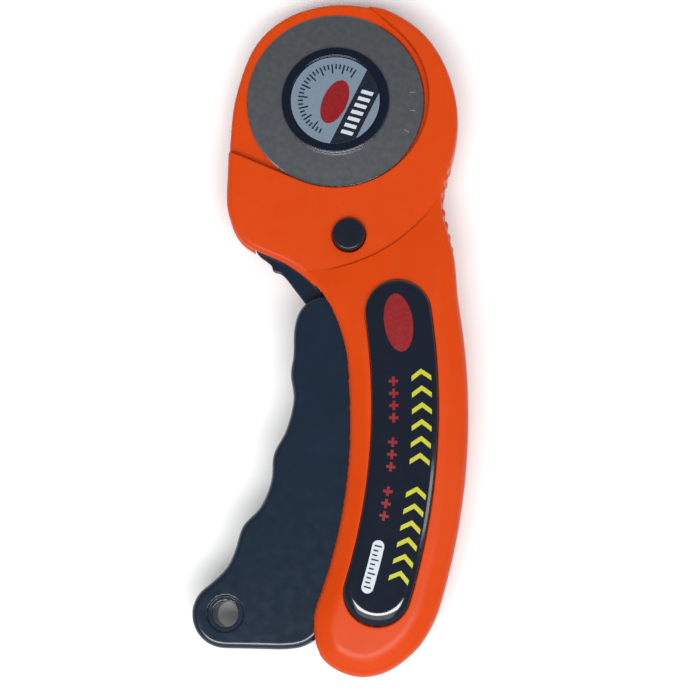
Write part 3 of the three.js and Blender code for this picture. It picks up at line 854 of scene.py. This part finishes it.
def nut(x, y, z):
    """A knurled knob with a ring-shaped dish in its face and a hole for its insert."""
    around = np.arctan2(y, x)
    rim = np.hypot(x, y) - NUT_R - 0.4 * np.cos(NUT_KNURLS * around)
    made = both(rim, np.abs(z - NUT_HALF) - NUT_HALF, 0.7)
    dish = both(np.abs(np.hypot(x, y) - 7.1) - 1.1, z - 0.9, 0.2)
    made = without(made, dish, 0.3)
    return without(made, np.hypot(x, y) - 4.5, 0.2)


def stud(x, y, z):
    """Thread, two flats that the lever holds, the blade's shoulder, and the end in the cap."""
    made = both(thread(x, y, z, STUD_R, 1.0, 0.35), np.abs(z - 5.4) - 4.2, 0.4)
    flats = both(both(np.hypot(x, y) - STUD_R, np.abs(x) - 2.5, 0.1), np.abs(z - 11) - 1.6)
    shoulder = both(np.hypot(x, y) - 3.85, np.abs(z - 13.75) - 1.45, 0.2)
    head = both(np.hypot(x, y) - STUD_R, np.abs(z - 15.4) - 0.5, 0.2)
    return either(either(made, flats), either(shoulder, head))


def screw(length):
    """A pan-headed case screw with its head down at z = 0."""

    def field(x, y, z):
        head = both(np.hypot(x, y) - SCREW_HEAD_R, np.abs(z - 0.8) - 0.8)
        head = both(head, np.sqrt(x**2 + y**2 + (z - 3.4) ** 2) - 3.4, 0.15)
        tip = length - 1.2
        shank = both(thread(x, y, z, 1.2, 0.9, 0.25), z - length, 0.1)
        shank = both(shank, np.hypot(x, y) - 1.2 + np.maximum(z - tip, 0) * 0.8)
        made = either(head, both(shank, 1.2 - z), 0.1)
        reach, half = 1.5, 0.35
        bar_x = both(np.abs(x) - reach, np.abs(y) - half)
        bar_y = both(np.abs(x) - half, np.abs(y) - reach)
        return without(made, both(np.minimum(bar_x, bar_y), z - 0.9), 0.05)

    return field


# ---------------------------------------------------------------- printed marks


def local(shape, angle, place):
    """Points of a small shape turned by an angle and moved to a place."""
    cos, sin = math.cos(angle), math.sin(angle)
    return [(place[0] + u * cos - v * sin, place[1] + u * sin + v * cos) for u, v in shape]


def on_inlay(shape, offset, angle):
    """A shape on the inlay: its u runs up the handle, and its v towards the palm."""
    return local([(u, -v) for u, v in shape], angle + math.pi / 2, polar(MIDDLE, angle, offset))


def anticlockwise(outline):
    p = np.asarray(outline, float)
    area = (p[:, 0] * np.roll(p[:, 1], -1) - p[:, 1] * np.roll(p[:, 0], -1)).sum()
    return outline if area > 0 else outline[::-1]


def ellipse(a, b, steps=48):
    turns = np.linspace(0, 2 * math.pi, steps, endpoint=False)
    return [(a * math.cos(t), b * math.sin(t)) for t in turns]


def chevrons():
    """Two groups of chevrons that point towards the blade."""
    mark = [(-1.6, -2.4), (-0.35, -2.4), (1.4, 0), (-0.35, 2.4), (-1.6, 2.4), (0.15, 0)]
    first, pitch = math.radians(2.5), math.radians(1.475)
    return [on_inlay(mark, CHEVRON_ROW, first - pitch * i) for i in range(13) if i != 6]


def crosses():
    """A row of small stitch crosses."""
    arm, half = 1.15, 0.34
    mark = [
        (-half, -arm), (half, -arm), (half, -half), (arm, -half), (arm, half), (half, half),
        (half, arm), (-half, arm), (-half, half), (-arm, half), (-arm, -half), (-half, -half),
    ]
    first, pitch = math.radians(2.0), math.radians(1.12)
    return [on_inlay(mark, CROSS_ROW, first - pitch * i) for i in range(12) if i not in (4, 8)]


PILL_FROM, PILL_TO = math.radians(-16.9), math.radians(-13.1)


def pill():
    r, half = MIDDLE[2] + PILL_ROW, 1.45
    ends = [polar(MIDDLE, a, PILL_ROW) for a in (PILL_TO, PILL_FROM)]
    return np.vstack([
        arc(MIDDLE[0], MIDDLE[1], r + half, PILL_FROM, PILL_TO),
        arc(*ends[0], half, PILL_TO, PILL_TO + math.pi),
        arc(MIDDLE[0], MIDDLE[1], r - half, PILL_TO, PILL_FROM),
        arc(*ends[1], half, PILL_FROM + math.pi, PILL_FROM + 2 * math.pi),
    ]).tolist()


def pill_ticks():
    """A short scale, with every third line long."""
    marks = []
    for i, a in enumerate(np.linspace(PILL_FROM, PILL_TO, 10)):
        long = 0.9 if i % 3 == 0 else 0.3
        line = [(-0.2, -0.9), (0.2, -0.9), (0.2, long), (-0.2, long)]
        marks.append(on_inlay(line, PILL_ROW, a))
    return marks


BAND_ANGLE = math.radians(-26.4)  # direction from the label's centre to its dark band
BAND_NEAR, BAND_FAR = 3.75, 9.1


def chord(offset):
    """The part of the label past a chord."""
    half = math.acos(offset / LABEL_R)
    return arc(0, 0, LABEL_R, BAND_ANGLE - half, BAND_ANGLE + half, 40).tolist()


def label_ticks():
    """Fine lines round the label's edge, like a protractor's, with every third one long."""
    marks = []
    for i in range(30):
        a = math.radians(56 + 6.5 * i)
        inner = 7.0 if i % 3 == 0 else 8.1
        line = [(inner, -0.2), (9.4, -0.2), (9.4, 0.2), (inner, 0.2)]
        marks.append(local(line, a, (0, 0)))
    return marks


def band_bars():
    """Slanted bars along the label's dark band."""
    mark = [(-1.5, -0.75), (-1.5, 0.25), (1.5, 0.75), (1.5, -0.25)]
    middle = (BAND_NEAR + BAND_FAR) / 2
    places = np.linspace(-6.2, 5.2, 7)
    return [local([(u + middle, v + along) for u, v in mark], BAND_ANGLE, (0, 0)) for along in places]


def printed(name, outlines, low, material, thick=0.03):
    points, faces = prism([anticlockwise(o) for o in outlines], low - thick, low + thick)
    return show(name, mesh_of(name, points, faces), material)


# ---------------------------------------------------------------- pieces


def piece(obj, body, slot, *nodes, centre=(0.0, 0.0)):
    """Puts a piece in the frame, on its body, in place of the CAD nodes that it stands for."""
    settle_in(obj, centre)
    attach(obj, body)
    if nodes:
        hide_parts(*nodes)
    return obj


def around(node, margin=0.4):
    low, high = span(node)
    return low - margin, high + margin


for name, field, pitch, keep, material, body, slot, node in (
    ("shell_front", front_shell, 0.3, 0.17, ORANGE, "handle", "handle_plastic", "front_shell"),
    ("shell_back", back_shell, 0.38, 0.2, ORANGE, "handle", "handle_plastic", "back_shell"),
    ("lever_grip", lever, 0.36, 0.25, LEVER_BLACK, "lever", "lever_plastic", "squeeze_lever"),
    ("inlay_front", inlay, 0.22, 0.3, INLAY_BLACK, "handle", "inlay_plastic", "front_inlay"),
    ("inlay_back", back_inlay, 0.3, 0.3, INLAY_BLACK, "handle", "inlay_plastic", "back_inlay"),
):
    piece(cast(name, field, *around(node), pitch, keep, material), body, slot, node)

oval = local(ellipse(7.2, 3.5), math.radians(97.5), (15.8, -57.9))
for name, outlines, material, lift in (
    ("inlay_oval", [oval], RED, 0),
    ("inlay_chevrons", chevrons(), YELLOW, 0),
    ("inlay_crosses", crosses(), RED, 0),
    ("inlay_pill", [pill()], WHITE, 0),
    ("inlay_scale", pill_ticks(), DARK, 0.02),
):
    piece(printed(name, outlines, INLAY_TOP + lift, material), "handle", "label_print")


def blade():
    """Ground disc, with a bright bevel at its edge."""
    low, high = span("blade")[0][2], span("blade")[1][2]
    flat = BLADE_R - BLADE_GRIND
    middle = (low + high) / 2
    profile = [(4, low), (flat, low), (BLADE_R, middle), (flat, high), (4, high)]
    obj = turned("blade_disc", profile, 0.03, 256, BLADE_STEEL, GROUND_STEEL)
    for face in obj.data.polygons:
        if math.hypot(*face.center[:2]) > flat + 0.02:
            face.material_index = 1
    return shade(obj, 4)


piece(blade(), "blade", "blade_steel", "blade")
score = [(18.9, -0.07), (20.3, -0.07), (20.3, 0.07), (18.9, 0.07)]
scores = [local(score, math.radians(a), (0, 0)) for a in (6, -8, -24)]
piece(printed("blade_scores", scores, span("blade")[1][2], ETCHED, 0.012), "blade", "blade_steel")

seat = CAP_TOP - 0.25
cap_profile = [
    (0, CAP_LOW), (CAP_R - 0.2, CAP_LOW), (CAP_R, CAP_LOW + 0.2), (CAP_R, CAP_TOP),
    (LABEL_R + 0.35, CAP_TOP), (LABEL_R + 0.2, seat), (0, seat),
]
piece(shade(turned("cap_disc", cap_profile, 0.3, 160, CAP_BLACK)), "lever", "knob_plastic", "bolt_cap")
label_profile = [(0, LABEL_TOP - 0.2), (LABEL_R, LABEL_TOP - 0.2), (LABEL_R, LABEL_TOP), (0, LABEL_TOP)]
made = shade(turned("label_disc", label_profile, 0.06, 128, GREY))
piece(made, "lever", "label_print", "bolt_label", centre=LABEL_AT)
label_oval = local(ellipse(5.9, 3.1), math.radians(67), (-0.1, -0.4))
for name, outlines, material, lift in (
    ("label_band", [chord(BAND_NEAR)], DARK, 0),
    ("label_edge", [chord(BAND_FAR)], GREY, 0.02),
    ("label_oval", [label_oval], RED, 0.02),
    ("label_ticks", label_ticks(), DARK, 0),
    ("label_bars", band_bars(), WHITE, 0.02),
):
    piece(printed(name, outlines, LABEL_TOP + lift, material), "lever", "label_print", centre=LABEL_AT)

stud_low, stud_high = around("bolt_stud")
piece(cast("stud_bolt", stud, stud_low, stud_high, 0.16, 1, ZINC), "lever", "plated_steel", "bolt_stud")


def washer(name, node, wave, material):
    """A flat ring, or one lifted in three waves."""
    low, high = span(node)
    thick = high[2] - low[2] - 2 * wave
    middle = (low[2] + high[2]) / 2
    outer = (high[0] - low[0]) / 2
    below, above = middle - thick / 2, middle + thick / 2
    ring = [(3.3, below), (outer, below), (outer, above), (3.3, above)]
    obj = shade(turned(name, ring, 0.1, 120, material))
    for v in obj.data.vertices:
        v.co.z += wave * math.cos(3 * math.atan2(v.co.y, v.co.x))
    return obj


made = washer("washer_wave", "wave_washer", 0.22, SPRING_STEEL)
piece(made, "lever", "spring_steel", "wave_washer")
made = washer("washer_flat", "flat_washer", 0.0, ZINC)
piece(made, "washer", "plated_steel", "flat_washer")
made = cast("nut_grip", nut, *around("nut_knob"), 0.25, 0.6, CAP_BLACK)
piece(made, "nut", "knob_plastic", "nut_knob")
brass_low, brass_high = span("nut_insert")[0][2], span("nut_insert")[1][2]
brass_ring = [(3.15, brass_low), (4.4, brass_low), (4.4, brass_high), (3.15, brass_high)]
made = shade(turned("nut_sleeve", brass_ring, 0.15, 96, BRASS))
piece(made, "nut", "insert_brass", "nut_insert")

button_low, button_high = span("lock_button_front")[0][2], span("lock_button_front")[1][2]
button_profile = [
    (0, button_low), (1.3, button_low), (1.3, COLLAR_LOW), (COLLAR_R, COLLAR_LOW),
    (COLLAR_R, COLLAR_HIGH), (LOCK_R, COLLAR_HIGH), (LOCK_R, button_high - 0.35),
    (LOCK_R - 0.35, button_high), (0, button_high),
]
button = shade(turned("button_front", button_profile, 0.25, 96, BUTTON_BLACK))
piece(button, "lock_button", "button_plastic", "lock_button_front", centre=LOCK)
back_low, back_high = span("lock_button_back")[0][2], span("lock_button_back")[1][2]
back_profile = [
    (0, back_low), (LOCK_R - 0.35, back_low), (LOCK_R, back_low + 0.35), (LOCK_R, back_high),
    (1.45, back_high), (1.45, back_high - 2.7), (0, back_high - 2.7),
]
button = shade(turned("button_back", back_profile, 0.25, 96, BUTTON_BLACK))
piece(button, "lock_button", "button_plastic", "lock_button_back", centre=LOCK)

pin_low, pin_high = span("pivot_pin")[0][2], span("pivot_pin")[1][2]
pin_profile = [
    (0, pin_low), (PIVOT_R - 0.3, pin_low), (PIVOT_R, pin_low + 0.3), (PIVOT_R, pin_high - 0.3),
    (PIVOT_R - 0.3, pin_high), (0, pin_high),
]
made = shade(turned("pin_pivot", pin_profile, 0.1, 64, ZINC))
piece(made, "handle", "plated_steel", "pivot_pin", centre=PIVOT)

for node, place, low, high in SCREWS:
    length = high - low
    made = cast("driven_" + node, screw(length), (-3, -3, -0.4), (3, 3, length + 0.4), 0.13, 0.7, ZINC)
    made.data.transform(Matrix.Translation((0, 0, low)))
    piece(made, "handle", "plated_steel", node, centre=place)


def spring():
    """Compression spring, from its seat on the lever to its seat in the handle."""
    turns, radius, wire = 6.5, 3.2, 0.45
    t = np.linspace(0, 1, 360)
    a = 2 * math.pi * turns * t
    along = wire + (SPRING_LENGTH - 2 * wire) * t
    across = radius * np.cos(a)
    x = SPRING_FROM[0] + along * SPRING_DIRECTION[0] - across * SPRING_DIRECTION[1]
    y = SPRING_FROM[1] + along * SPRING_DIRECTION[1] + across * SPRING_DIRECTION[0]
    return tube("coil_return", np.c_[x, y, Z_PART + radius * np.sin(a)], wire, 10, SPRING_STEEL)


coil = piece(shade(spring()), "handle", "spring_steel", "return_spring")
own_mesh(coil)

# ---------------------------------------------------------------- floor and light


def floor():
    size = 4.0
    corners = [(-size, -size, 0), (size, -size, 0), (size, size, 0), (-size, size, 0)]
    f = Finish("pale_floor")
    f.colour([0.92, 0.92, 0.92, 1], [0.94, 0.94, 0.94, 1], f.noise(60, 2))
    obj = show("floor", mesh_of("floor", corners, [[0, 1, 2, 3]]), f.done(Roughness=0.9))
    obj.location.z = -0.0003


def softbox(name, place, size, power, mirrored=True):
    """A rectangular light at a place, facing the cutter, that gloss may mirror."""
    light = bpy.data.objects.new(name, bpy.data.lights.new(name, "AREA"))
    light.data.shape = "RECTANGLE"
    light.data.size, light.data.size_y = size
    light.data.energy = power
    light.visible_glossy = mirrored
    light.location = place
    light.rotation_mode = "QUATERNION"
    light.rotation_quaternion = (Vector(place) - Vector((0, 0, 0.01))).to_track_quat("Z", "Y")
    bpy.context.scene.collection.objects.link(light)


def studio():
    """A pale surround that is dark overhead, as in a light tent with its top open."""
    world = bpy.data.worlds.new("studio")
    world.use_nodes = True
    nodes, links = world.node_tree.nodes, world.node_tree.links
    where = nodes.new("ShaderNodeTexCoord")
    split = nodes.new("ShaderNodeSeparateXYZ")
    ramp = nodes.new("ShaderNodeValToRGB")
    links.new(where.outputs["Generated"], split.inputs[0])
    links.new(split.outputs["Z"], ramp.inputs[0])
    links.new(ramp.outputs[0], nodes["Background"].inputs["Color"])
    stops = ramp.color_ramp.elements
    stops[0].position = 0.08
    stops[0].color = (0.85, 0.85, 0.85, 1)
    stops[1].position = 0.62
    stops[1].color = (0.115, 0.12, 0.125, 1)
    middle = stops.new(0.3)
    middle.color = (0.3, 0.3, 0.3, 1)
    bpy.context.scene.world = world


floor()
studio()
softbox("key", (0.0, -0.39, 0.94), (0.9, 0.3), 10.5)
softbox("front", (-0.1, -0.75, 0.9), (1.2, 0.7), 3.1)
softbox("rear", (0.3, 0.95, 1.0), (1.6, 0.8), 4.5, mirrored=False)
softbox("right", (0.9, -0.1, 0.75), (0.15, 0.4), 0.6)
bpy.context.scene.view_settings.view_transform = "Standard"
bpy.context.scene.view_settings.look = "None"
